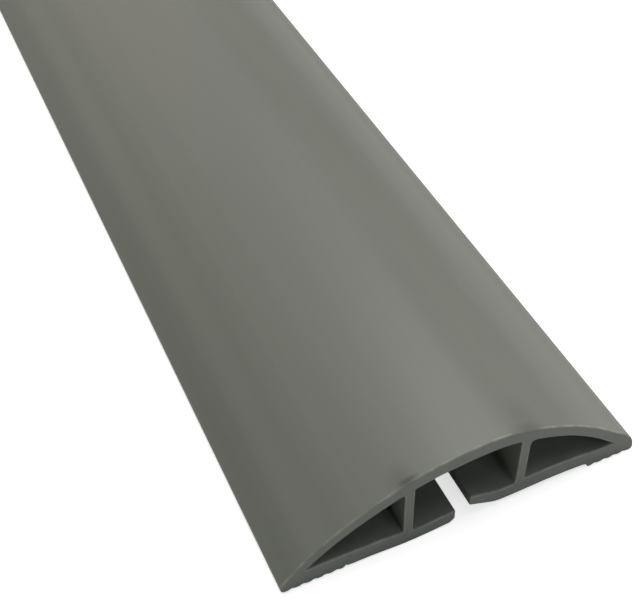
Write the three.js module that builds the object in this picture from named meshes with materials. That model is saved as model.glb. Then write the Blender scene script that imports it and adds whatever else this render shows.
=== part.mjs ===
// Floor cord cover: one length of extruded flexible PVC, an arched strip that lies over a cord.
// The arch stands on two webs. Between them runs the cord channel, which opens to the floor
// through a slit in the base, and beside it are two closed side hollows that save material.
// Frame: millimetres, +Z up, +Y along the strip, origin on the floor under the middle of the strip.

import * as THREE from 'three';

// The strip
const LENGTH = 914.4;
const WIDTH = 70;
const HEIGHT = 20;

// The arch leaves the crown level and meets the rounded edges at this slope
const FLANK_SLOPE = THREE.MathUtils.degToRad(43.5);

// The edges are full above and turn in tightly below, to sit flat on the floor
const EDGE_RADIUS_ABOVE = 4.5;
const EDGE_RADIUS_BELOW = 1;

// Walls. The arch gets thinner from its crown to its edges.
const CROWN_WALL = 3.05;
const FLANK_WALL = 2.1;
const BASE_WALL = 3.55;
const WEB_WALL = 1.85;
const FLAP_WALL = 3;

// The cord channel between the webs, and the slit in its floor, a little left of the middle
const CHANNEL_WIDTH = 20.1;
const SLIT_WIDTH = 3.2;
const SLIT_OFFSET = -0.5;

// The underside stands off the floor between two bands of grip ribs
const FLOOR_GAP = 0.85;
const RIB_COUNT = 5;
const RIB_PITCH = 1.9;
const RIB_CREST = 0.7;
const RIB_VALLEY = 0.35;
const RIB_DEPTH = 0.4;

// Each flap of the base turns up a little towards its lip, which is bevelled underneath
const LEFT = {
  lipLift: 0.75,
  lipRun: 4.6,
  bevelRise: 0.9,
  bevelRun: 0.8,
  bevelFillet: 0.3,
  channelFootFillet: 0.3,
  hollowTopFillet: 0.6,
};
const RIGHT = {
  lipLift: 1.45,
  lipRun: 5.9,
  bevelRise: 2.1,
  bevelRun: 5.2,
  bevelFillet: 6,
  channelFootFillet: 1.1,
  hollowTopFillet: 1.6,
};

// Other rounded corners
const CEILING_FILLET = 0.5;
const HOLLOW_FOOT_FILLET = 0.3;
const HOLLOW_TIP_FILLET = 0.25;
const LIP_FILLET = 0.25;
const LIP_BEND_RADIUS = 6;
// A fillet takes no more than this share of the shorter side beside it
const FILLET_SHARE = 0.45;

// Facets of each curve
const ARCH_FACETS = 32;
const CEILING_FACETS = 10;
const HOLLOW_FACETS = 18;
const EDGE_FACETS = 6;
const FILLET_FACETS = 4;

const COLOUR = 0x7a7c75;

const channelX = CHANNEL_WIDTH / 2;
const hollowX = channelX + WEB_WALL;
const hollowFloorZ = FLOOR_GAP + BASE_WALL;
const flapTopZ = FLOOR_GAP + FLAP_WALL;
const ribFlank = (RIB_PITCH - RIB_CREST - RIB_VALLEY) / 2;

// A corner of an outline, with the radius that it is rounded to
const corner = (x, z, radius = 0) => ({ x, z, radius });

// The corners on one side of the strip, from corners given by their distance from the middle.
// side is -1 on the left and 1 on the right.
const onSide = (side, corners) => corners.map(({ x, z, radius }) => corner(side * x, z, radius));

// Corners along an arc, from one angle to the other, both ends among them
function arc(centreX, centreZ, radius, from, to, facets) {
  const corners = [];
  for (let i = 0; i <= facets; i += 1) {
    const angle = from + ((to - from) * i) / facets;
    corners.push(corner(centreX + radius * Math.cos(angle), centreZ + radius * Math.sin(angle)));
  }
  return corners;
}

// One half of an arched surface, as a quadratic curve from the crown, where it is level, down to
// its end, where it has the flank's slope. Its control point is where those two tangents meet.
class ArchHalf {
  constructor(crownZ, end) {
    this.crownZ = crownZ;
    this.end = end;
    this.drop = crownZ - end.z;
    this.kneeX = end.x - this.drop / Math.tan(FLANK_SLOPE);
  }

  at(t) {
    return corner(2 * t * (1 - t) * this.kneeX + t ** 2 * this.end.x, this.crownZ - t ** 2 * this.drop);
  }

  atHeight(z) {
    return Math.sqrt((this.crownZ - z) / this.drop);
  }

  atDistance(x) {
    return x / (this.kneeX + Math.sqrt(this.kneeX ** 2 + (this.end.x - 2 * this.kneeX) * x));
  }

  corners(from, to, facets) {
    return Array.from({ length: facets + 1 }, (_, i) => this.at(from + ((to - from) * i) / facets));
  }
}

// Where the top of a rounded edge meets the flank, moved inwards square to the flank by a depth
const edgeTopX = WIDTH / 2 - EDGE_RADIUS_ABOVE;
const flankEnd = (depth) => {
  const reach = EDGE_RADIUS_ABOVE - depth;
  const x = edgeTopX + reach * Math.sin(FLANK_SLOPE);
  return corner(x, EDGE_RADIUS_BELOW + reach * Math.cos(FLANK_SLOPE));
};
const archTop = new ArchHalf(HEIGHT, flankEnd(0));
const archCeiling = new ArchHalf(HEIGHT - CROWN_WALL, flankEnd(FLANK_WALL));

// The closed outline through the corners, each rounded by a curve that touches both its sides
function roundedOutline(corners) {
  const outline = [];
  corners.forEach((here, i) => {
    const at = new THREE.Vector2(here.x, here.z);
    if (here.radius === 0) {
      outline.push(at);
      return;
    }
    const before = corners[(i + corners.length - 1) % corners.length];
    const after = corners[(i + 1) % corners.length];
    const back = new THREE.Vector2(before.x, before.z).sub(at);
    const ahead = new THREE.Vector2(after.x, after.z).sub(at);
    const half = back.angleTo(ahead) / 2;
    const room = FILLET_SHARE * Math.min(back.length(), ahead.length());
    const reach = Math.min(here.radius / Math.tan(half), room);
    const start = at.clone().addScaledVector(back.normalize(), reach);
    const end = at.clone().addScaledVector(ahead.normalize(), reach);
    const curve = new THREE.QuadraticBezierCurve(start, at, end);
    outline.push(...curve.getPoints(FILLET_FACETS));
  });
  return outline;
}

// The flap of the base, from the foot of the web along the channel's floor, and back underneath
function flap(side, shape) {
  const lipX = SLIT_WIDTH / 2 + side * SLIT_OFFSET;
  return [
    corner(channelX, flapTopZ, shape.channelFootFillet),
    corner(lipX + shape.lipRun, flapTopZ, LIP_BEND_RADIUS),
    corner(lipX, flapTopZ + shape.lipLift, LIP_FILLET),
    corner(lipX, FLOOR_GAP + shape.bevelRise, LIP_FILLET),
    corner(lipX + shape.bevelRun, FLOOR_GAP, shape.bevelFillet),
  ];
}

// The grip ribs, from the smooth underside out to the rounded edge, whose foot is the last crest
function ribs() {
  const footX = WIDTH / 2 - EDGE_RADIUS_BELOW;
  const innerCrest = footX - (RIB_COUNT - 1) * RIB_PITCH;
  const corners = [corner(innerCrest - RIB_CREST / 2 - ribFlank, FLOOR_GAP)];
  for (let i = 0; i < RIB_COUNT; i += 1) {
    const crest = innerCrest + i * RIB_PITCH;
    corners.push(corner(crest - RIB_CREST / 2, 0));
    if (i < RIB_COUNT - 1) {
      const valley = crest + RIB_CREST / 2 + ribFlank;
      corners.push(corner(crest + RIB_CREST / 2, 0));
      corners.push(corner(valley, RIB_DEPTH));
      corners.push(corner(valley + RIB_VALLEY, RIB_DEPTH));
    }
  }
  return corners;
}

// The rounded edge, from the floor up to the flank
function roundedEdge() {
  const footX = WIDTH / 2 - EDGE_RADIUS_BELOW;
  const flank = Math.PI / 2 - FLANK_SLOPE;
  return [
    ...arc(footX, EDGE_RADIUS_BELOW, EDGE_RADIUS_BELOW, -Math.PI / 2, 0, EDGE_FACETS),
    ...arc(edgeTopX, EDGE_RADIUS_BELOW, EDGE_RADIUS_ABOVE, 0, flank, EDGE_FACETS).slice(1),
  ];
}

// One half of the outer outline: the ceiling from its middle, the web, the flap, the underside
// with its ribs, the edge, and the arch up to the crown
function outlineHalf(side, shape) {
  const ceiling = archCeiling.corners(0, archCeiling.atDistance(channelX), CEILING_FACETS);
  ceiling[CEILING_FACETS].radius = CEILING_FILLET;
  return onSide(side, [
    ...ceiling,
    ...flap(side, shape),
    ...ribs(),
    ...roundedEdge(),
    ...archTop.corners(1, 0, ARCH_FACETS).slice(1),
  ]);
}

// A side hollow: the arch over it from its tip to the web, and the base below it. The facets stop
// short of the web, to leave room for the fillet there.
function hollowOutline(side, shape) {
  const tip = archCeiling.atHeight(hollowFloorZ);
  const filletStart = archCeiling.atDistance(hollowX + 2 * shape.hollowTopFillet);
  const top = archCeiling.at(archCeiling.atDistance(hollowX));
  const roof = archCeiling.corners(tip, filletStart, HOLLOW_FACETS);
  roof[0].radius = HOLLOW_TIP_FILLET;
  return roundedOutline(onSide(side, [
    ...roof,
    corner(top.x, top.z, shape.hollowTopFillet),
    corner(hollowX, hollowFloorZ, HOLLOW_FOOT_FILLET),
  ]));
}

function coverStrip() {
  const right = outlineHalf(1, RIGHT);
  const left = outlineHalf(-1, LEFT).reverse();
  const section = new THREE.Shape(roundedOutline([...right, ...left.slice(1, -1)]));
  section.holes = [new THREE.Path(hollowOutline(-1, LEFT)), new THREE.Path(hollowOutline(1, RIGHT))];
  const geometry = new THREE.ExtrudeGeometry(section, { depth: LENGTH, bevelEnabled: false });
  const vinyl = new THREE.MeshStandardMaterial({ color: COLOUR, roughness: 0.5, metalness: 0 });
  const mesh = new THREE.Mesh(geometry, vinyl);
  mesh.name = 'cover_strip';
  // The section is drawn upright, so the extrusion is laid down along the strip's own length
  mesh.rotation.x = Math.PI / 2;
  mesh.position.y = LENGTH / 2;
  return mesh;
}

const cordCover = new THREE.Group();
cordCover.add(coverStrip());

export default cordCover;
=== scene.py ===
# Floor cord cover: one length of extruded flexible PVC, an arched strip that lies over a cord.
# Sizes are in millimetres, in the part's own frame, and become metres where something is made.

import math

import bpy
from mathutils import Matrix, Vector


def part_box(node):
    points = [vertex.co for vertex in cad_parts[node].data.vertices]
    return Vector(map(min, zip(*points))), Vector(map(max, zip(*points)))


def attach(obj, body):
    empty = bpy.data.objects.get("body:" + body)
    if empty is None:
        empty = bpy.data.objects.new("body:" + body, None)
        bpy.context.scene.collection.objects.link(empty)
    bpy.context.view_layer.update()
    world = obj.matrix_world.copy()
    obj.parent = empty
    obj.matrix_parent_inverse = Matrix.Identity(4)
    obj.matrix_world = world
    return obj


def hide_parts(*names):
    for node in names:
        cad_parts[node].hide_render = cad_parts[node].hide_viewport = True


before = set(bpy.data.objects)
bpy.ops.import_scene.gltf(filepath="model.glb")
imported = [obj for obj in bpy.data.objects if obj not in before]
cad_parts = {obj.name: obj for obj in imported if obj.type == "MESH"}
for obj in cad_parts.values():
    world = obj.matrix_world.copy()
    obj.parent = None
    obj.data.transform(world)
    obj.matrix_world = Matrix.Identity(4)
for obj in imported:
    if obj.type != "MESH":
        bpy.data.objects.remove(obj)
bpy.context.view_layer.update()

MM = 0.001
IMAGE_WIDTH = 640

# The strip's overall size
strip_low, strip_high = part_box("cover_strip")
LENGTH = (strip_high.y - strip_low.y) / MM
WIDTH = (strip_high.x - strip_low.x) / MM
HEIGHT = strip_high.z / MM

# The die's section: the arch and its edges, which are full above, upright for a short way and
# turned in tightly at the foot
FLANK_SLOPE = math.radians(43.5)
EDGE_RADIUS_ABOVE = 4.5
UPRIGHT_TOP = 1.0
CROWN_WALL = 3.05
FLANK_WALL = 2.1

# The base, the webs and the flaps, with each side's own sizes
BASE_WALL = 3.55
WEB_WALL = 1.85
FLAP_WALL = 3.0
CHANNEL_WIDTH = 20.1
SLIT_WIDTH = 3.2
SLIT_OFFSET = -0.5
FLOOR_GAP = 0.85
LEFT = {
    "foot_radius": 0.9,
    "rib_count": 6,
    "lip_lift": 0.35,
    "lip_run": 4.6,
    "bevel_rise": 0.9,
    "bevel_run": 0.8,
    "bevel_fillet": 0.4,
    "channel_foot_fillet": 0.35,
    "hollow_top_fillet": 0.6,
}
RIGHT = {
    "foot_radius": 0.6,
    "rib_count": 5,
    "lip_lift": 1.6,
    "lip_run": 5.9,
    "bevel_rise": 2.2,
    "bevel_run": 5.2,
    "bevel_fillet": 6.0,
    "channel_foot_fillet": 1.1,
    "hollow_top_fillet": 1.6,
}

# The grip ribs. The outermost crest runs into the rounded edge.
OUTER_CREST = 34.0
RIB_PITCH = 2.05
RIB_CREST = 0.7
RIB_VALLEY = 0.35
RIB_DEPTH = 0.27
RIB_FILLET = 0.4

# Rounded corners. A fillet takes no more than FILLET_SHARE of the shorter side beside it.
CEILING_FILLET = 0.5
HOLLOW_FOOT_FILLET = 0.35
HOLLOW_TIP_FILLET = 0.4
LIP_FILLET = 0.35
LIP_BEND_RADIUS = 6.0
FILLET_SHARE = 0.45

# How the section settled as it cooled, as lifts at distances from the middle. The left half lies
# lower and the right half higher, the left ribs hang level with the underside beside them, and the
# strip stands on the foot of its left web and on its right ribs.
TOP_LIFTS = [
    (-35.0, -0.55),
    (-33.0, -0.5),
    (-30.0, 0.05),
    (-25.0, -0.2),
    (-16.0, -0.68),
    (-9.0, -0.6),
    (-1.0, -0.27),
    (10.0, 0.62),
    (17.0, 0.54),
    (26.0, 0.4),
    (30.0, 0.16),
    (33.0, 0.32),
    (35.0, 0.0),
]
BASE_LIFTS = [
    (-30.0, -0.1),
    (-20.0, -0.32),
    (-10.0, -0.92),
    (-2.0, -0.45),
    (1.0, 0.5),
    (9.0, 0.38),
    (18.0, 0.45),
    (30.0, -0.3),
]
UNDERSIDE_LIFTS = [
    (-23.2, 0.34),
    (-22.5, -0.35),
    (-19.0, -0.4),
    (-11.0, -0.83),
    (-2.0, -0.15),
    (1.0, 0.5),
    (9.0, 0.42),
    (17.0, 0.64),
    (24.5, 0.33),
    (25.1, 0.0),
]
SIDE_SHIFTS = [
    (-20.0, 0.0),
    (-12.0, -0.27),
    (-6.0, -0.27),
    (-2.0, 0.02),
    (1.0, -0.45),
    (6.0, -0.27),
    (12.0, -0.27),
    (20.0, 0.0),
]
UNDERSIDE_TOP = 1.0
BASE_BOTTOM = 3.5
# Shares of the arch's height, up to which the base's lift holds and from which the top's does
BASE_SHARE = 0.65
TOP_SHARE = 0.85

# Steps of the curves, and the longest straight side without a point in it
ARCH_STEPS = 76
CEILING_STEPS = 18
HOLLOW_STEPS = 40
EDGE_STEPS = 10
FILLET_STEPS = 5
LONGEST_SIDE = 0.8

# The saw leaves the ends' edges slightly rounded, and less so low down, where the ribs and feet are
# small
CUT_EDGE_RADIUS = 0.25
LOW_CUT_EDGE_SHARE = 0.3
LOW_CUT_EDGE_TOP = 1.6
FULL_CUT_EDGE_FROM = 5.0
CUT_EDGE_STEPS = 5

# How often the section is repeated along the strip, and how fast the stations spread out
STATIONS_PER_HALF = 50
STATION_SPREAD = 2.2

# Points nearer than this are welded. A face that looks along the strip by more than this share
# belongs to an end.
WELD_DISTANCE = 0.002
END_FACE_SQUARENESS = 0.995

channel_x = CHANNEL_WIDTH / 2
hollow_x = channel_x + WEB_WALL
hollow_floor_z = FLOOR_GAP + BASE_WALL
flap_top_z = FLOOR_GAP + FLAP_WALL
rib_flank = (RIB_PITCH - RIB_CREST - RIB_VALLEY) / 2
edge_top_x = WIDTH / 2 - EDGE_RADIUS_ABOVE


def linear(hex_colour):
    """An sRGB hex colour as linear RGBA."""
    channels = [int(hex_colour[i:i + 2], 16) / 255 for i in (1, 3, 5)]
    turned = [c / 12.92 if c <= 0.04045 else ((c + 0.055) / 1.055) ** 2.4 for c in channels]
    return (*turned, 1.0)


def node(tree, kind, settings=None, inputs=None):
    """Adds a node to a tree. An input is given by name or number, as a value or as a socket to link."""
    made = tree.nodes.new(kind)
    for name, value in (settings or {}).items():
        setattr(made, name, value)
    for key, value in (inputs or {}).items():
        if isinstance(value, bpy.types.NodeSocket):
            tree.links.new(value, made.inputs[key])
        else:
            made.inputs[key].default_value = value
    return made


class ArchHalf:
    """One half of an arched surface: a quadratic curve from the level crown to the flank's slope."""

    def __init__(self, crown_z, end):
        self.crown_z = crown_z
        self.end_x, end_z = end
        self.drop = crown_z - end_z
        self.knee_x = self.end_x - self.drop / math.tan(FLANK_SLOPE)

    def at(self, t):
        return (2 * t * (1 - t) * self.knee_x + t ** 2 * self.end_x, self.crown_z - t ** 2 * self.drop)

    def at_height(self, z):
        return math.sqrt((self.crown_z - z) / self.drop)

    def at_distance(self, x):
        return x / (self.knee_x + math.sqrt(self.knee_x ** 2 + (self.end_x - 2 * self.knee_x) * x))

    def points(self, start, end, steps):
        return [self.at(start + (end - start) * i / steps) for i in range(steps + 1)]


def flank_end(depth):
    """Where a rounded edge meets the flank, moved in square to the flank by a depth."""
    reach = EDGE_RADIUS_ABOVE - depth
    return (
        edge_top_x + reach * math.sin(FLANK_SLOPE),
        UPRIGHT_TOP + reach * math.cos(FLANK_SLOPE),
    )


arch_top = ArchHalf(HEIGHT, flank_end(0))
arch_ceiling = ArchHalf(HEIGHT - CROWN_WALL, flank_end(FLANK_WALL))


def arc(centre_x, centre_z, radius, start, end, steps):
    """Points along an arc, both ends among them."""
    angles = [start + (end - start) * i / steps for i in range(steps + 1)]
    return [(centre_x + radius * math.cos(a), centre_z + radius * math.sin(a)) for a in angles]


def rounded(corners):
    """The closed outline through corners (x, z) or (x, z, radius), each rounded to its radius."""
    outline = []
    for i, here in enumerate(corners):
        at = Vector(here[:2])
        if len(here) == 2:
            outline.append(at)
            continue
        back = Vector(corners[i - 1][:2]) - at
        ahead = Vector(corners[(i + 1) % len(corners)][:2]) - at
        room = FILLET_SHARE * min(back.length, ahead.length)
        reach = min(here[2] / math.tan(back.angle(ahead) / 2), room)
        start = at + back.normalized() * reach
        end = at + ahead.normalized() * reach
        for step in range(FILLET_STEPS + 1):
            t = step / FILLET_STEPS
            outline.append(start * (1 - t) ** 2 + at * 2 * t * (1 - t) + end * t ** 2)
    return outline


def on_side(side, corners):
    """Corners on the left (side -1) or right (side 1), from their distances from the middle."""
    return [(side * corner[0], *corner[1:]) for corner in corners]


def flap(side, shape):
    """The flap of the base: its channel floor, its lip with a bevel below, and its underside."""
    lip_x = SLIT_WIDTH / 2 + side * SLIT_OFFSET
    return [
        (channel_x, flap_top_z, shape["channel_foot_fillet"]),
        (lip_x + shape["lip_run"], flap_top_z, LIP_BEND_RADIUS),
        (lip_x, flap_top_z + shape["lip_lift"], LIP_FILLET),
        (lip_x, FLOOR_GAP + shape["bevel_rise"], LIP_FILLET),
        (lip_x + shape["bevel_run"], FLOOR_GAP, shape["bevel_fillet"]),
    ]


def grip_ribs(count):
    """The band of ribs under one edge."""
    inner_crest = OUTER_CREST - (count - 1) * RIB_PITCH
    corners = [(inner_crest - RIB_CREST / 2 - rib_flank, FLOOR_GAP, RIB_FILLET)]
    for i in range(count):
        crest = inner_crest + i * RIB_PITCH
        corners.append((crest - RIB_CREST / 2, 0, RIB_FILLET))
        if i < count - 1:
            valley = crest + RIB_CREST / 2 + rib_flank
            corners.append((crest + RIB_CREST / 2, 0, RIB_FILLET))
            corners.append((valley, RIB_DEPTH, RIB_FILLET))
            corners.append((valley + RIB_VALLEY, RIB_DEPTH, RIB_FILLET))
    return corners


def rounded_edge(foot_radius):
    """The edge, from the floor round to the flank."""
    flank = math.pi / 2 - FLANK_SLOPE
    foot = arc(WIDTH / 2 - foot_radius, foot_radius, foot_radius, -math.pi / 2, 0, EDGE_STEPS)
    return foot + arc(edge_top_x, UPRIGHT_TOP, EDGE_RADIUS_ABOVE, 0, flank, EDGE_STEPS)


def outline_half(side, shape):
    """Half of the outer outline, from the middle of the ceiling round to the crown."""
    ceiling = arch_ceiling.points(0, arch_ceiling.at_distance(channel_x), CEILING_STEPS)
    ceiling[-1] = (*ceiling[-1], CEILING_FILLET)
    ribs = grip_ribs(shape["rib_count"])
    top = arch_top.points(1, 0, ARCH_STEPS)[1:]
    edge = rounded_edge(shape["foot_radius"])
    return on_side(side, ceiling + flap(side, shape) + ribs + edge + top)


def hollow(side, shape):
    """The outline of a side hollow: its roof from the tip to the web, and its corners there."""
    fillet_start = arch_ceiling.at_distance(hollow_x + 2 * shape["hollow_top_fillet"])
    roof = arch_ceiling.points(arch_ceiling.at_height(hollow_floor_z), fillet_start, HOLLOW_STEPS)
    roof[0] = (*roof[0], HOLLOW_TIP_FILLET)
    top = arch_ceiling.at(arch_ceiling.at_distance(hollow_x))
    return rounded(on_side(side, roof + [
        (*top, shape["hollow_top_fillet"]),
        (hollow_x, hollow_floor_z, HOLLOW_FOOT_FILLET),
    ]))


class EasedCurve:
    """A smooth curve through stops (place, value), level at its ends and at each peak and trough."""

    def __init__(self, stops):
        self.stops = stops
        rises = [(b[1] - a[1]) / (b[0] - a[0]) for a, b in zip(stops, stops[1:])]
        inner = [2 * a * b / (a + b) if a * b > 0 else 0.0 for a, b in zip(rises, rises[1:])]
        self.slopes = [0.0, *inner, 0.0]

    def at(self, place):
        if place <= self.stops[0][0]:
            return self.stops[0][1]
        for i, (high, after) in enumerate(self.stops[1:]):
            low, before = self.stops[i]
            if place < high:
                span = high - low
                t = (place - low) / span
                from_values = before + (after - before) * t * t * (3 - 2 * t)
                from_slopes = self.slopes[i] * (1 - t) - self.slopes[i + 1] * t
                return from_values + span * t * (1 - t) * from_slopes
        return self.stops[-1][1]


top_lift = EasedCurve(TOP_LIFTS)
base_lift = EasedCurve(BASE_LIFTS)
underside_lift = EasedCurve(UNDERSIDE_LIFTS)
side_shift = EasedCurve(SIDE_SHIFTS)


def die_height(x):
    """Height of the die's arch at a distance from the middle."""
    return arch_top.at(arch_top.at_distance(abs(x)))[1]


def settled(x, z):
    """Where a point of the die's section lies once the strip has cooled."""
    share = z / die_height(x)
    with_top = min(max((share - BASE_SHARE) / (TOP_SHARE - BASE_SHARE), 0.0), 1.0)
    with_body = min(max((z - UNDERSIDE_TOP) / (BASE_BOTTOM - UNDERSIDE_TOP), 0.0), 1.0)
    body_lift = with_top * top_lift.at(x) + (1 - with_top) * base_lift.at(x)
    lift = with_body * body_lift + (1 - with_body) * underside_lift.at(x)
    return (x + side_shift.at(x), z + lift)


def top_height(x):
    """Height of the cooled strip's top at a distance from the middle."""
    return settled(x, die_height(x))[1]


def finely(loop):
    """The loop with further points on its long straight sides, which settle into soft curves."""
    points = []
    for here, after in zip(loop, loop[1:] + loop[:1]):
        pieces = max(1, math.ceil((after - here).length / LONGEST_SIDE))
        points += [here.lerp(after, i / pieces) for i in range(pieces)]
    return points


def section_loops():
    """The section's three closed loops: the outer outline and the two side hollows."""
    right = outline_half(1, RIGHT)
    left = outline_half(-1, LEFT)[::-1]
    outer = rounded(right + left[1:-1])
    # The outline runs anticlockwise and the hollows clockwise, so that every wall faces the air
    loops = [outer, hollow(-1, LEFT), hollow(1, RIGHT)[::-1]]
    return [[settled(x, z) for x, z in finely(loop)] for loop in loops]


def station_distances():
    """Where along the strip the section is repeated, from one end to the other. Stations stand
    close together round the cut edges and spread out towards the middle."""
    run = LENGTH / 2 - CUT_EDGE_RADIUS
    from_end = []
    for i in range(CUT_EDGE_STEPS):
        from_end.append(CUT_EDGE_RADIUS * (1 - math.cos(math.pi / 2 * i / CUT_EDGE_STEPS)))
    for i in range(STATIONS_PER_HALF):
        from_end.append(CUT_EDGE_RADIUS + run * (i / STATIONS_PER_HALF) ** STATION_SPREAD)
    near_half = [-LENGTH / 2 + distance for distance in from_end]
    return near_half + [0.0] + [-y for y in reversed(near_half)]


def polylines(name, loops, cyclic):
    """A curve object of straight segments through points given in millimetres."""
    curve = bpy.data.curves.new(name, "CURVE")
    curve.dimensions = "3D"
    for loop in loops:
        spline = curve.splines.new("POLY")
        spline.points.add(len(loop) - 1)
        for point, place in zip(spline.points, loop):
            point.co = (*(c * MM for c in place), 1.0)
        spline.use_cyclic_u = cyclic
    made = bpy.data.objects.new(name, curve)
    bpy.context.scene.collection.objects.link(made)
    return made


# Surface relief of the whole strip, and the dents that the cutting left above the webs at the near
# end, whose rim they pull down
RIPPLE_DEPTH = 0.05
RIPPLE_LENGTH = 55.0
RIPPLE_DETAIL = 1.0
near_end_y = -LENGTH / 2
DENTS = [
    {"x": -11.8, "behind": 0.0, "width": 1.8, "length": 1.2, "depth": 0.1},
    {"x": 10.6, "behind": 0.0, "width": 2.4, "length": 1.1, "depth": 0.25},
]
DENT_HEIGHT = 1.8


def swept_body(tree, given):
    """The walls and the two ends as one closed body. The walls remember which way is square to them."""
    section = node(tree, "GeometryNodeObjectInfo", inputs={"Object": given["Section"]})
    walls = node(tree, "GeometryNodeCurveToMesh", inputs={
        "Curve": given["Path"],
        "Profile Curve": section.outputs["Geometry"],
    })
    on_points = {"data_type": "FLOAT_VECTOR", "domain": "POINT"}
    square = node(tree, "GeometryNodeStoreNamedAttribute", on_points, {
        "Geometry": walls.outputs["Mesh"],
        "Name": "square_to_wall",
        "Value": node(tree, "GeometryNodeInputNormal").outputs["Normal"],
    })
    end = node(tree, "GeometryNodeFillCurve", inputs={"Curve": section.outputs["Geometry"]})
    upper_place = node(tree, "ShaderNodeCombineXYZ", inputs={"Z": given["Half length"]})
    upper_end = node(tree, "GeometryNodeTransform", inputs={
        "Geometry": end.outputs["Mesh"],
        "Translation": upper_place.outputs["Vector"],
    })
    lower_place = node(tree, "ShaderNodeVectorMath", {"operation": "SCALE"}, {
        0: upper_place.outputs["Vector"],
        "Scale": -1.0,
    })
    turned_end = node(tree, "GeometryNodeFlipFaces", inputs={"Mesh": end.outputs["Mesh"]})
    lower_end = node(tree, "GeometryNodeTransform", inputs={
        "Geometry": turned_end.outputs["Mesh"],
        "Translation": lower_place.outputs["Vector"],
    })
    parts = node(tree, "GeometryNodeJoinGeometry")
    for part in (square, upper_end, lower_end):
        tree.links.new(part.outputs["Geometry"], parts.inputs["Geometry"])
    closed = node(tree, "GeometryNodeMergeByDistance", inputs={
        "Geometry": parts.outputs["Geometry"],
        "Distance": WELD_DISTANCE * MM,
    })
    return closed.outputs["Geometry"]


def cut_edges_rounded(tree, given, body):
    """The body with its walls drawn in near the ends, by the height of a quarter circle. It still
    stands on its end here, so its height above the floor is its Y."""
    place = node(tree, "GeometryNodeInputPosition").outputs["Position"]
    apart = node(tree, "ShaderNodeSeparateXYZ", inputs={"Vector": place})
    off_middle = node(tree, "ShaderNodeMath", {"operation": "ABSOLUTE"}, {0: apart.outputs["Z"]})
    from_end = node(tree, "ShaderNodeMath", {"operation": "SUBTRACT"}, {
        0: given["Half length"],
        1: off_middle.outputs["Value"],
    })
    share = node(tree, "ShaderNodeMath", {"operation": "DIVIDE"}, {
        0: from_end.outputs["Value"],
        1: given["Cut edge radius"],
    })
    short_of_flat = node(tree, "ShaderNodeMath", {"operation": "SUBTRACT", "use_clamp": True}, {
        0: 1.0,
        1: share.outputs["Value"],
    })
    squared = node(tree, "ShaderNodeMath", {"operation": "MULTIPLY"}, {
        0: short_of_flat.outputs["Value"],
        1: short_of_flat.outputs["Value"],
    })
    rest = node(tree, "ShaderNodeMath", {"operation": "SUBTRACT", "use_clamp": True}, {
        0: 1.0,
        1: squared.outputs["Value"],
    })
    height = node(tree, "ShaderNodeMath", {"operation": "SQRT"}, {0: rest.outputs["Value"]})
    draw_in = node(tree, "ShaderNodeMath", {"operation": "SUBTRACT"}, {0: 1.0, 1: height.outputs["Value"]})
    radius_share = node(tree, "ShaderNodeMapRange", inputs={
        "Value": apart.outputs["Y"],
        "From Min": LOW_CUT_EDGE_TOP * MM,
        "From Max": FULL_CUT_EDGE_FROM * MM,
        "To Min": LOW_CUT_EDGE_SHARE,
    })
    radius = node(tree, "ShaderNodeMath", {"operation": "MULTIPLY"}, {
        0: given["Cut edge radius"],
        1: radius_share.outputs["Result"],
    })
    inset = node(tree, "ShaderNodeMath", {"operation": "MULTIPLY"}, {
        0: draw_in.outputs["Value"],
        1: radius.outputs["Value"],
    })
    inwards = node(tree, "ShaderNodeMath", {"operation": "MULTIPLY"}, {0: inset.outputs["Value"], 1: -1.0})
    remembered = node(tree, "GeometryNodeInputNamedAttribute", {"data_type": "FLOAT_VECTOR"}, {
        "Name": "square_to_wall",
    })
    outwards = node(tree, "ShaderNodeVectorMath", {"operation": "NORMALIZE"}, {
        0: remembered.outputs["Attribute"],
    })
    pulled = node(tree, "ShaderNodeVectorMath", {"operation": "SCALE"}, {
        0: outwards.outputs["Vector"],
        "Scale": inwards.outputs["Value"],
    })
    eased = node(tree, "GeometryNodeSetPosition", inputs={
        "Geometry": body,
        "Offset": pulled.outputs["Vector"],
    })
    return eased.outputs["Geometry"]


def dent_shape(tree, given, place, dent):
    """A smooth bell in the top at a dent: 1 in its middle, and nothing a few widths away."""
    centre = (dent["x"] * MM, (near_end_y + dent["behind"]) * MM, top_height(dent["x"]) * MM)
    off_centre = node(tree, "ShaderNodeVectorMath", {"operation": "SUBTRACT"}, {0: place, 1: centre})
    reach = node(tree, "ShaderNodeCombineXYZ", inputs={
        "X": dent["width"] * MM,
        "Y": dent["length"] * MM,
        "Z": given["Dent height"],
    })
    scaled = node(tree, "ShaderNodeVectorMath", {"operation": "DIVIDE"}, {
        0: off_centre.outputs["Vector"],
        1: reach.outputs["Vector"],
    })
    spread = node(tree, "ShaderNodeVectorMath", {"operation": "DOT_PRODUCT"}, {
        0: scaled.outputs["Vector"],
        1: scaled.outputs["Vector"],
    })
    negative = node(tree, "ShaderNodeMath", {"operation": "MULTIPLY"}, {
        0: spread.outputs["Value"],
        1: -1.0,
    })
    bell = node(tree, "ShaderNodeMath", {"operation": "EXPONENT"}, {0: negative.outputs["Value"]})
    return bell.outputs["Value"]


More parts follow.
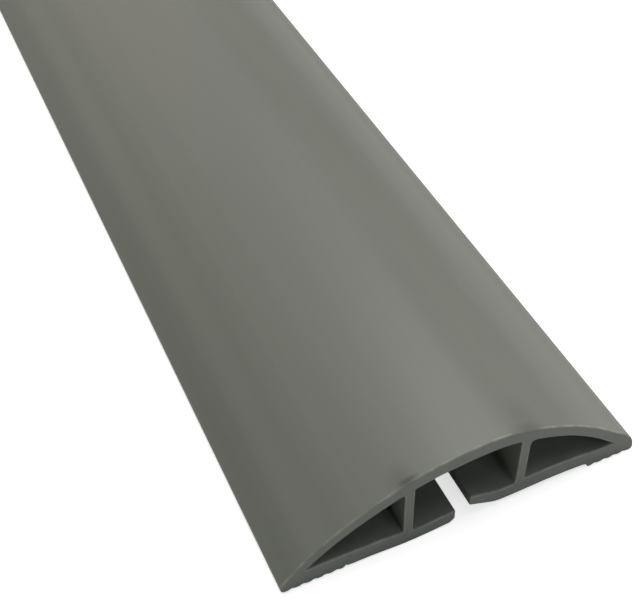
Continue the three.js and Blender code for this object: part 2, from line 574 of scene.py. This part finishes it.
def surface_sink(tree, given):
    """How far the surface is sunk. The ripple only ever sinks it, and fades out towards the floor,
    and each dent adds its own depth."""
    place = node(tree, "GeometryNodeInputPosition").outputs["Position"]
    wave_place = node(tree, "ShaderNodeVectorMath", {"operation": "DIVIDE"}, {
        0: place,
        1: given["Ripple length"],
    })
    wave = node(tree, "ShaderNodeTexNoise", {"noise_dimensions": "3D"}, {
        "Vector": wave_place.outputs["Vector"],
        "Scale": 1.0,
        "Detail": RIPPLE_DETAIL,
    })
    up = node(tree, "ShaderNodeSeparateXYZ", inputs={"Vector": place}).outputs["Z"]
    fade = node(tree, "ShaderNodeMapRange", inputs={
        "Value": up,
        "From Min": hollow_floor_z * MM,
        "From Max": HEIGHT * MM,
    })
    faded = node(tree, "ShaderNodeMath", {"operation": "MULTIPLY"}, {
        0: wave.outputs["Fac"],
        1: fade.outputs["Result"],
    })
    sunk = node(tree, "ShaderNodeMath", {"operation": "MULTIPLY"}, {
        0: faded.outputs["Value"],
        1: given["Ripple depth"],
    }).outputs["Value"]
    for dent in DENTS:
        sunk = node(tree, "ShaderNodeMath", {"operation": "MULTIPLY_ADD"}, {
            0: dent_shape(tree, given, place, dent),
            1: dent["depth"] * MM,
            2: sunk,
        }).outputs["Value"]
    return sunk


def finished(tree, given, body):
    """The body with smooth walls and flat ends, each with its own finish."""
    facing = node(tree, "GeometryNodeInputNormal").outputs["Normal"]
    lengthways = node(tree, "ShaderNodeSeparateXYZ", inputs={"Vector": facing}).outputs["Y"]
    squareness = node(tree, "ShaderNodeMath", {"operation": "ABSOLUTE"}, {0: lengthways})
    is_end = node(tree, "FunctionNodeCompare", {"data_type": "FLOAT", "operation": "GREATER_THAN"}, {
        0: squareness.outputs["Value"],
        1: END_FACE_SQUARENESS,
    })
    is_wall = node(tree, "FunctionNodeBooleanMath", {"operation": "NOT"}, {0: is_end.outputs["Result"]})
    shaded = node(tree, "GeometryNodeSetShadeSmooth", {"domain": "FACE"}, {
        "Geometry": body,
        "Shade Smooth": is_wall.outputs["Boolean"],
    })
    real = node(tree, "GeometryNodeRealizeInstances", inputs={"Geometry": shaded.outputs["Geometry"]})
    walls_finished = node(tree, "GeometryNodeSetMaterial", inputs={
        "Geometry": real.outputs["Geometry"],
        "Material": given["Wall finish"],
    })
    ends_finished = node(tree, "GeometryNodeSetMaterial", inputs={
        "Geometry": walls_finished.outputs["Geometry"],
        "Selection": is_end.outputs["Result"],
        "Material": given["End finish"],
    })
    return ends_finished.outputs["Geometry"]


def sweep_tree():
    """The node tree that sweeps the section along a path, closes and rounds its ends, and gives
    the surface its ripple and dents. The path runs up Z, and the result is laid down along Y."""
    tree = bpy.data.node_groups.new("swept_strip", "GeometryNodeTree")
    for name, kind in (
        ("Path", "NodeSocketGeometry"),
        ("Section", "NodeSocketObject"),
        ("Half length", "NodeSocketFloat"),
        ("Cut edge radius", "NodeSocketFloat"),
        ("Ripple depth", "NodeSocketFloat"),
        ("Ripple length", "NodeSocketFloat"),
        ("Dent height", "NodeSocketFloat"),
        ("Wall finish", "NodeSocketMaterial"),
        ("End finish", "NodeSocketMaterial"),
    ):
        tree.interface.new_socket(name, in_out="INPUT", socket_type=kind)
    tree.interface.new_socket("Strip", in_out="OUTPUT", socket_type="NodeSocketGeometry")
    given = node(tree, "NodeGroupInput").outputs

    standing = cut_edges_rounded(tree, given, swept_body(tree, given))
    laid = node(tree, "GeometryNodeTransform", inputs={
        "Geometry": standing,
        "Rotation": (math.pi / 2, 0.0, 0.0),
    })
    downwards = node(tree, "ShaderNodeMath", {"operation": "MULTIPLY"}, {
        0: surface_sink(tree, given),
        1: -1.0,
    })
    drop = node(tree, "ShaderNodeCombineXYZ", inputs={"Z": downwards.outputs["Value"]})
    relief = node(tree, "GeometryNodeSetPosition", inputs={
        "Geometry": laid.outputs["Geometry"],
        "Offset": drop.outputs["Vector"],
    })
    node(tree, "NodeGroupOutput", inputs={"Strip": finished(tree, given, relief.outputs["Geometry"])})
    return tree


def make_strip(wall_finish, end_finish):
    """The strip as one mesh, swept from its section."""
    section = polylines("section", [[(x, z, 0.0) for x, z in loop] for loop in section_loops()], True)
    path = polylines("path", [[(0.0, 0.0, y) for y in station_distances()]], False)
    tree = sweep_tree()
    sweep = path.modifiers.new("sweep", "NODES")
    sweep.node_group = tree
    values = {
        "Section": section,
        "Half length": LENGTH / 2 * MM,
        "Cut edge radius": CUT_EDGE_RADIUS * MM,
        "Ripple depth": RIPPLE_DEPTH * MM,
        "Ripple length": RIPPLE_LENGTH * MM,
        "Dent height": DENT_HEIGHT * MM,
        "Wall finish": wall_finish,
        "End finish": end_finish,
    }
    for item in tree.interface.items_tree:
        if item.name in values:
            sweep[item.identifier] = values[item.name]
    bpy.context.view_layer.update()
    evaluated = path.evaluated_get(bpy.context.evaluated_depsgraph_get())
    mesh = bpy.data.meshes.new_from_object(evaluated)
    mesh.materials.pop(index=0)
    strip = bpy.data.objects.new("vinyl_cover", mesh)
    bpy.context.scene.collection.objects.link(strip)
    for helper in (path, section):
        bpy.data.objects.remove(helper)
    return strip


def new_material(name):
    """An empty material: its node tree, its surface shader and its object coordinates."""
    material = bpy.data.materials.new(name)
    material.use_nodes = True
    tree = material.node_tree
    tree.nodes.clear()
    shader = node(tree, "ShaderNodeBsdfPrincipled")
    node(tree, "ShaderNodeOutputMaterial", inputs={"Surface": shader.outputs["BSDF"]})
    places = node(tree, "ShaderNodeTexCoord").outputs["Object"]
    return material, tree, shader, places


def per_metre(size_mm):
    """A pattern's scale for features of this size."""
    return 1 / (size_mm * MM)


PVC_IOR = 1.53

# The noise patterns' own middle range, and how finely they are broken up
NOISE_LOW = 0.3
NOISE_HIGH = 0.7
NOISE_DETAIL = 2.0
CLOUD_DETAIL = 3.0

# Soft clouds of the compound, which the die drew out, and the die's own fine lines
CLOUD_WIDTH = 15.0
CLOUD_LENGTH = 80.0
CLOUD_DARK = "#757971"
CLOUD_PALE = "#7C7F78"
CLOUD_GLOSSIEST = 0.4
CLOUD_DULLEST = 0.5
DIE_LINE_WIDTH = 0.9
DIE_LINE_LENGTH = 260.0
DIE_LINE_CONTRAST = 0.015
DIE_LINE_HEIGHT = 0.02
DIE_LINE_STRENGTH = 0.3

# The real grain is finer than this. It is drawn this coarse to show.
GRAIN_SIZE = 0.5
GRAIN_HEIGHT = 0.02
GRAIN_STRENGTH = 0.25

# The saw left a burr along the cut ends, whose highlight is painted in a paler colour. The burr is rubbed
# off in places, and pressed flat in the dents, over so many of their widths, and the painted highlight is
# gone there. Painted shade darkens the top just behind the dents.
RIM_HIGHLIGHT_WIDTH = 0.42
RIM_HIGHLIGHT_COLOUR = "#A2A49D"
RIM_HIGHLIGHT_PATCH = 2.2
RIM_HIGHLIGHT_PATCH_LOW = 0.38
RIM_HIGHLIGHT_PATCH_HIGH = 0.62
RIM_HIGHLIGHT_LEAST = 0.2
RIM_HIGHLIGHT_MOST = 0.75
RIM_HIGHLIGHT_GAP_WIDTHS = 2
# Painted shade: dark soft spots on the top in and just behind the dents
DENT_SHADES = [
    {"x": -11.6, "behind": 0.75, "width": 2.8, "length": 0.8, "dark": 0.55},
    {"x": -12.4, "behind": 1.8, "width": 3.4, "length": 3.8, "dark": 0.2},
    {"x": 10.9, "behind": 0.5, "width": 4.6, "length": 2.0, "dark": 0.22},
    {"x": 11.3, "behind": 3.0, "width": 4.2, "length": 6.5, "dark": 0.12},
]

# The faces outside these two lines are painted lighter or darker than the crown between them, as light and
# shade: a thin painted highlight line and a duller face in painted shade on the left, and a paler face in
# painted light with a wavy border on the right
LEFT_LINE = -20.0
LEFT_LINE_WIDTH = 0.7
LEFT_LINE_PAINTED_HIGHLIGHT = 0.03
LEFT_FACE_PAINTED_SHADE = 0.97
RIGHT_BORDER = 20.5
RIGHT_BORDER_WIDTH = 1.0
RIGHT_BORDER_WANDER = 7.0
RIGHT_BORDER_WAVE = 45.0
RIGHT_FACE_PAINTED_LIGHT = 1.055

# Soft bands along the strip, a little paler or darker than the rest: painted light and shade, standing in
# for shading that the lamps leave out
PAINTED_LIGHT_AND_SHADE_BANDS = [
    {"x": -28.5, "half_width": 5.0, "tone": 1.13},
    {"x": 12.5, "half_width": 10.0, "tone": 1.1},
    {"x": 30.0, "half_width": 7.0, "tone": 0.93},
]

# The sawn end: cloudy like the rest, matt, with fine upright marks of the blade
SAWN_CLOUD = 4.0
SAWN_DARK = "#747973"
SAWN_PALE = "#7C807A"
SAWN_ROUGHNESS = 0.6
BLADE_MARK_WIDTH = 0.5
BLADE_MARK_LENGTH = 12.0
BLADE_MARK_HEIGHT = 0.03
BLADE_MARK_STRENGTH = 0.4


def drawn_noise(tree, places, sizes, detail):
    """A noise pattern whose features have these sizes along X, Y and Z."""
    scaled = node(tree, "ShaderNodeMapping", inputs={
        "Vector": places,
        "Scale": tuple(per_metre(size) for size in sizes),
    })
    pattern = node(tree, "ShaderNodeTexNoise", inputs={
        "Vector": scaled.outputs["Vector"],
        "Scale": 1.0,
        "Detail": detail,
    })
    return pattern.outputs["Fac"]


def soft_spot(tree, places, x, behind, width, length):
    """The strength of a soft oval spot on the top near the near end: 1 in its middle, 0 outside."""
    centre = (x * MM, (near_end_y + behind) * MM, top_height(x) * MM)
    off_centre = node(tree, "ShaderNodeVectorMath", {"operation": "SUBTRACT"}, {0: places, 1: centre})
    scaled = node(tree, "ShaderNodeVectorMath", {"operation": "DIVIDE"}, {
        0: off_centre.outputs["Vector"],
        1: (width * MM, length * MM, width * MM),
    })
    distance = node(tree, "ShaderNodeVectorMath", {"operation": "LENGTH"}, {0: scaled.outputs["Vector"]})
    strength = node(tree, "ShaderNodeMapRange", {"interpolation_type": "SMOOTHSTEP"}, {
        "Value": distance.outputs["Value"],
        "From Min": 1.0,
        "From Max": 0.0,
    })
    return strength.outputs["Result"]


def left_face_painted_shade(tree, across):
    """The painted shade of the left face and the painted highlight of the pale line beside it, as a share
    of the crown's tone.
    """
    face = node(tree, "ShaderNodeMapRange", inputs={
        "Value": across,
        "From Min": (LEFT_LINE - LEFT_LINE_WIDTH / 2) * MM,
        "From Max": (LEFT_LINE + LEFT_LINE_WIDTH / 2) * MM,
        "To Min": LEFT_FACE_PAINTED_SHADE,
        "To Max": 1.0,
    })
    is_line = node(tree, "ShaderNodeMath", {"operation": "COMPARE"}, {
        0: across,
        1: LEFT_LINE * MM,
        2: LEFT_LINE_WIDTH / 2 * MM,
    })
    # Painted highlight on the line, painted shade on the left face
    tone = node(tree, "ShaderNodeMath", {"operation": "MULTIPLY_ADD"}, {
        0: is_line.outputs["Value"],
        1: LEFT_LINE_PAINTED_HIGHLIGHT,
        2: face.outputs["Result"],
    })
    return tone.outputs["Value"]


def right_face_painted_light(tree, across, lengthways):
    """The painted light of the right face, whose border wanders to and fro along the strip."""
    wave = node(tree, "ShaderNodeTexNoise", {"noise_dimensions": "1D"}, {
        "W": lengthways,
        "Scale": per_metre(RIGHT_BORDER_WAVE),
        "Detail": NOISE_DETAIL,
    })
    wandered = node(tree, "ShaderNodeMath", {"operation": "MULTIPLY_ADD"}, {
        0: wave.outputs["Fac"],
        1: RIGHT_BORDER_WANDER * MM,
        2: across,
    })
    face = node(tree, "ShaderNodeMapRange", inputs={
        "Value": wandered.outputs["Value"],
        "From Min": (RIGHT_BORDER + (RIGHT_BORDER_WANDER - RIGHT_BORDER_WIDTH) / 2) * MM,
        "From Max": (RIGHT_BORDER + (RIGHT_BORDER_WANDER + RIGHT_BORDER_WIDTH) / 2) * MM,
        "To Min": 1.0,
        "To Max": RIGHT_FACE_PAINTED_LIGHT,
    })
    return face.outputs["Result"]


def painted_shading_across(tree, across, lengthways):
    """The painted light and shade from the left edge to the right one: the two faces and the soft bands.
    """
    tone = node(tree, "ShaderNodeMath", {"operation": "MULTIPLY"}, {
        0: left_face_painted_shade(tree, across),
        1: right_face_painted_light(tree, across, lengthways),
    }).outputs["Value"]
    # Each band is painted light or painted shade along the strip
    for band in PAINTED_LIGHT_AND_SHADE_BANDS:
        aside = node(tree, "ShaderNodeMath", {"operation": "SUBTRACT"}, {0: across, 1: band["x"] * MM})
        off_band = node(tree, "ShaderNodeMath", {"operation": "ABSOLUTE"}, {0: aside.outputs["Value"]})
        painted_band_tone = node(tree, "ShaderNodeMapRange", {"interpolation_type": "SMOOTHSTEP"}, {
            "Value": off_band.outputs["Value"],
            "From Max": band["half_width"] * MM,
            "To Min": band["tone"],
            "To Max": 1.0,
        })
        tone = node(tree, "ShaderNodeMath", {"operation": "MULTIPLY"}, {
            0: tone,
            1: painted_band_tone.outputs["Result"],
        }).outputs["Value"]
    return tone


def rim_highlight_strength(tree, places, lengthways):
    """How strong the painted highlight on the burr is: patchy along the cut ends, gone in the dents, and 0
    elsewhere.
    """
    off_middle = node(tree, "ShaderNodeMath", {"operation": "ABSOLUTE"}, {0: lengthways})
    at_end = node(tree, "ShaderNodeMapRange", inputs={
        "Value": off_middle.outputs["Value"],
        "From Min": (LENGTH / 2 - RIM_HIGHLIGHT_WIDTH) * MM,
        "From Max": (LENGTH / 2 - RIM_HIGHLIGHT_WIDTH / 2) * MM,
    })
    patches = node(tree, "ShaderNodeTexNoise", inputs={
        "Vector": places,
        "Scale": per_metre(RIM_HIGHLIGHT_PATCH),
        "Detail": NOISE_DETAIL,
    })
    left_on = node(tree, "ShaderNodeMapRange", inputs={
        "Value": patches.outputs["Fac"],
        "From Min": RIM_HIGHLIGHT_PATCH_LOW,
        "From Max": RIM_HIGHLIGHT_PATCH_HIGH,
        "To Min": RIM_HIGHLIGHT_LEAST,
        "To Max": RIM_HIGHLIGHT_MOST,
    })
    strength = node(tree, "ShaderNodeMath", {"operation": "MULTIPLY"}, {
        0: at_end.outputs["Result"],
        1: left_on.outputs["Result"],
    }).outputs["Value"]
    for dent in DENTS:
        gap = RIM_HIGHLIGHT_GAP_WIDTHS * dent["width"]
        flat = soft_spot(tree, places, dent["x"], 0.0, gap, gap)
        kept = node(tree, "ShaderNodeMath", {"operation": "SUBTRACT"}, {0: 1.0, 1: flat})
        strength = node(tree, "ShaderNodeMath", {"operation": "MULTIPLY"}, {
            0: strength,
            1: kept.outputs["Value"],
        }).outputs["Value"]
    return strength


def with_painted_dent_shade(tree, places, colour):
    """The colour with painted shade as dark soft spots in and just behind the dents."""
    for dent_shade_spot in DENT_SHADES:
        spot = soft_spot(tree, places, dent_shade_spot["x"], dent_shade_spot["behind"], dent_shade_spot["width"], dent_shade_spot["length"])
        lightness = node(tree, "ShaderNodeMapRange", inputs={
            "Value": spot,
            "To Min": 1.0,
            "To Max": 1.0 - dent_shade_spot["dark"],
        })
        colour = node(tree, "ShaderNodeVectorMath", {"operation": "SCALE"}, {
            0: colour,
            "Scale": lightness.outputs["Result"],
        }).outputs["Vector"]
    return colour


def extruded_pvc():
    """Extruded flexible PVC: an even satin grey, with faint lines along the strip from the die,
    soft cloudiness from the compound, painted light and shade across the strip, a painted highlight on the
    burr at the cut ends and painted shade at the dents there."""
    material, tree, shader, places = new_material("extruded_flexible_pvc")
    apart = node(tree, "ShaderNodeSeparateXYZ", inputs={"Vector": places})
    across, lengthways = apart.outputs["X"], apart.outputs["Y"]
    cloud = drawn_noise(tree, places, (CLOUD_WIDTH, CLOUD_LENGTH, CLOUD_WIDTH), CLOUD_DETAIL)
    die_lines = drawn_noise(tree, places, (DIE_LINE_WIDTH, DIE_LINE_LENGTH, DIE_LINE_WIDTH), NOISE_DETAIL)

    # Colour: the clouds, then the die's lines, the faces and bands of painted light and shade, the painted
    # highlight on the burr and the painted shade at the dents
    cloud_colour = node(tree, "ShaderNodeMix", {"data_type": "RGBA"}, {
        0: cloud,
        6: linear(CLOUD_DARK),
        7: linear(CLOUD_PALE),
    })
    line_tone = node(tree, "ShaderNodeMapRange", inputs={
        "Value": die_lines,
        "From Min": NOISE_LOW,
        "From Max": NOISE_HIGH,
        "To Min": 1.0 - DIE_LINE_CONTRAST,
        "To Max": 1.0 + DIE_LINE_CONTRAST,
    })
    line_colour = node(tree, "ShaderNodeVectorMath", {"operation": "SCALE"}, {
        0: cloud_colour.outputs[2],
        "Scale": line_tone.outputs["Result"],
    })
    # Painted light and shade across the strip: the two faces and the soft bands
    painted_shading_colour = node(tree, "ShaderNodeVectorMath", {"operation": "SCALE"}, {
        0: line_colour.outputs["Vector"],
        "Scale": painted_shading_across(tree, across, lengthways),
    })
    # Painted highlight on the burr along the cut ends, in a paler colour
    rim_highlight_colour = node(tree, "ShaderNodeMix", {"data_type": "RGBA"}, {
        0: rim_highlight_strength(tree, places, lengthways),
        6: painted_shading_colour.outputs["Vector"],
        7: linear(RIM_HIGHLIGHT_COLOUR),
    })
    # Painted shade at the dents goes on last
    tree.links.new(with_painted_dent_shade(tree, places, rim_highlight_colour.outputs[2]), shader.inputs["Base Color"])

    # Gloss and relief
    roughness = node(tree, "ShaderNodeMapRange", inputs={
        "Value": cloud,
        "To Min": CLOUD_GLOSSIEST,
        "To Max": CLOUD_DULLEST,
    })
    tree.links.new(roughness.outputs["Result"], shader.inputs["Roughness"])
    shader.inputs["IOR"].default_value = PVC_IOR
    grain = node(tree, "ShaderNodeTexNoise", inputs={
        "Vector": places,
        "Scale": per_metre(GRAIN_SIZE),
        "Detail": NOISE_DETAIL,
    })
    grain_bump = node(tree, "ShaderNodeBump", inputs={
        "Strength": GRAIN_STRENGTH,
        "Distance": GRAIN_HEIGHT * MM,
        "Height": grain.outputs["Fac"],
    })
    line_bump = node(tree, "ShaderNodeBump", inputs={
        "Strength": DIE_LINE_STRENGTH,
        "Distance": DIE_LINE_HEIGHT * MM,
        "Height": die_lines,
        "Normal": grain_bump.outputs["Normal"],
    })
    tree.links.new(line_bump.outputs["Normal"], shader.inputs["Normal"])
    return material


def sawn_pvc():
    """The same PVC where it was cut off: matt and a little greyer, with fine marks of the blade."""
    material, tree, shader, places = new_material("sawn_flexible_pvc")
    cloud = node(tree, "ShaderNodeTexNoise", inputs={
        "Vector": places,
        "Scale": per_metre(SAWN_CLOUD),
        "Detail": CLOUD_DETAIL,
    })
    colour = node(tree, "ShaderNodeMix", {"data_type": "RGBA"}, {
        0: cloud.outputs["Fac"],
        6: linear(SAWN_DARK),
        7: linear(SAWN_PALE),
    })
    tree.links.new(colour.outputs[2], shader.inputs["Base Color"])
    shader.inputs["Roughness"].default_value = SAWN_ROUGHNESS
    shader.inputs["IOR"].default_value = PVC_IOR
    sizes = (BLADE_MARK_WIDTH, BLADE_MARK_WIDTH, BLADE_MARK_LENGTH)
    mark_bump = node(tree, "ShaderNodeBump", inputs={
        "Strength": BLADE_MARK_STRENGTH,
        "Distance": BLADE_MARK_HEIGHT * MM,
        "Height": drawn_noise(tree, places, sizes, NOISE_DETAIL),
    })
    tree.links.new(mark_bump.outputs["Normal"], shader.inputs["Normal"])
    return material


# The camera, at the photograph's place: it looks down on the near end from the left
CAMERA_AT = (-64.64, -547.0, 167.25)
CAMERA_AIM = (-0.79, -397.96, 0.0)
CAMERA_ROLL = math.radians(-1.9)
FOCAL_PIXELS = 1116.2
CLIP_NEAR = 10.0
CLIP_FAR = 20000.0


def make_camera():
    camera = bpy.data.cameras.new("photo_camera")
    camera.lens = FOCAL_PIXELS * camera.sensor_width / IMAGE_WIDTH
    camera.clip_start = CLIP_NEAR * MM
    camera.clip_end = CLIP_FAR * MM
    placed = bpy.data.objects.new("photo_camera", camera)
    at = Vector(CAMERA_AT) * MM
    looking = (Vector(CAMERA_AIM) * MM - at).to_track_quat("-Z", "Y").to_matrix().to_4x4()
    placed.matrix_world = Matrix.Translation(at) @ looking @ Matrix.Rotation(CAMERA_ROLL, 4, "Z")
    bpy.context.scene.collection.objects.link(placed)
    bpy.context.scene.camera = placed


# The stage: a white floor in white surroundings. Both look brighter than the lights make them, but
# cast no light of their own on the strip.
FLOOR_SIZE = 8000.0
FLOOR_COLOUR = "#F4F4F2"
FLOOR_ROUGHNESS = 0.9
FLOOR_GLOW = 0.7
SURROUNDINGS_GLOW = 0.9
GLOW_COLOUR = "#FFFFFF"


def seen_glow(tree, strength):
    """A glow that is seen but lights nothing."""
    path = node(tree, "ShaderNodeLightPath")
    glow = node(tree, "ShaderNodeMath", {"operation": "MULTIPLY"}, {
        0: path.outputs["Is Camera Ray"],
        1: strength,
    })
    return glow.outputs["Value"]


def make_floor():
    half = FLOOR_SIZE / 2 * MM
    corners = [(-half, -half, 0), (half, -half, 0), (half, half, 0), (-half, half, 0)]
    mesh = bpy.data.meshes.new("floor")
    mesh.from_pydata(corners, [], [(0, 1, 2, 3)])
    floor = bpy.data.objects.new("floor", mesh)
    bpy.context.scene.collection.objects.link(floor)
    material, tree, shader, _ = new_material("pale_floor")
    shader.inputs["Base Color"].default_value = linear(FLOOR_COLOUR)
    shader.inputs["Roughness"].default_value = FLOOR_ROUGHNESS
    shader.inputs["Emission Color"].default_value = linear(GLOW_COLOUR)
    tree.links.new(seen_glow(tree, FLOOR_GLOW), shader.inputs["Emission Strength"])
    mesh.materials.append(material)


def make_surroundings():
    world = bpy.data.worlds.new("studio")
    bpy.context.scene.world = world
    world.use_nodes = True
    tree = world.node_tree
    background = tree.nodes["Background"]
    background.inputs["Color"].default_value = linear(GLOW_COLOUR)
    tree.links.new(seen_glow(tree, SURROUNDINGS_GLOW), background.inputs["Strength"])


# Square soft lights, all facing the strip's near part. Each stands so many degrees round from +X and
# up from the floor, with its distance and size in metres and its power in watts.
LIT_PLACE = Vector((0.0, -0.4, 0.0))
LIGHTS = [
    {"name": "overhead", "round": 90, "up": 88, "distance": 2.0, "size": 1.6,
     "power": 12.4, "colour": "#FBFFFE"},
    {"name": "high_back", "round": 45, "up": 65, "distance": 2.0, "size": 1.2,
     "power": 17.2, "colour": "#FFFCF9"},
    {"name": "low_right", "round": 0, "up": 12, "distance": 2.0, "size": 0.8,
     "power": 9.0, "colour": "#FFF4F6"},
    {"name": "low_back", "round": 90, "up": 20, "distance": 2.0, "size": 1.2,
     "power": 5.4, "colour": "#FFEBEB"},
    {"name": "left_back", "round": 120, "up": 40, "distance": 0.8, "size": 0.5,
     "power": 0.62, "colour": "#FFFBEC"},
    {"name": "left_far", "round": 119, "up": 13, "distance": 0.58, "size": 0.25,
     "power": 0.1, "colour": "#FFFBEC"},
    {"name": "front", "round": -80, "up": 38, "distance": 2.0, "size": 1.2,
     "power": 5.8, "colour": "#F7FDFF"},
]


def soft_light(placing):
    light = bpy.data.lights.new(placing["name"], "AREA")
    light.shape = "SQUARE"
    light.size = placing["size"]
    light.energy = placing["power"]
    light.color = linear(placing["colour"])[:3]
    turn, rise = math.radians(placing["round"]), math.radians(placing["up"])
    away = Vector((math.cos(rise) * math.cos(turn), math.cos(rise) * math.sin(turn), math.sin(rise)))
    placed = bpy.data.objects.new(placing["name"], light)
    facing = (-away).to_track_quat("-Z", "Y").to_matrix().to_4x4()
    placed.matrix_world = Matrix.Translation(LIT_PLACE + away * placing["distance"]) @ facing
    bpy.context.scene.collection.objects.link(placed)


make_camera()
make_floor()
make_surroundings()
for placing in LIGHTS:
    soft_light(placing)

cover = make_strip(extruded_pvc(), sawn_pvc())
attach(cover, "root")
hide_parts("cover_strip")

bpy.context.scene.view_settings.view_transform = "Standard"
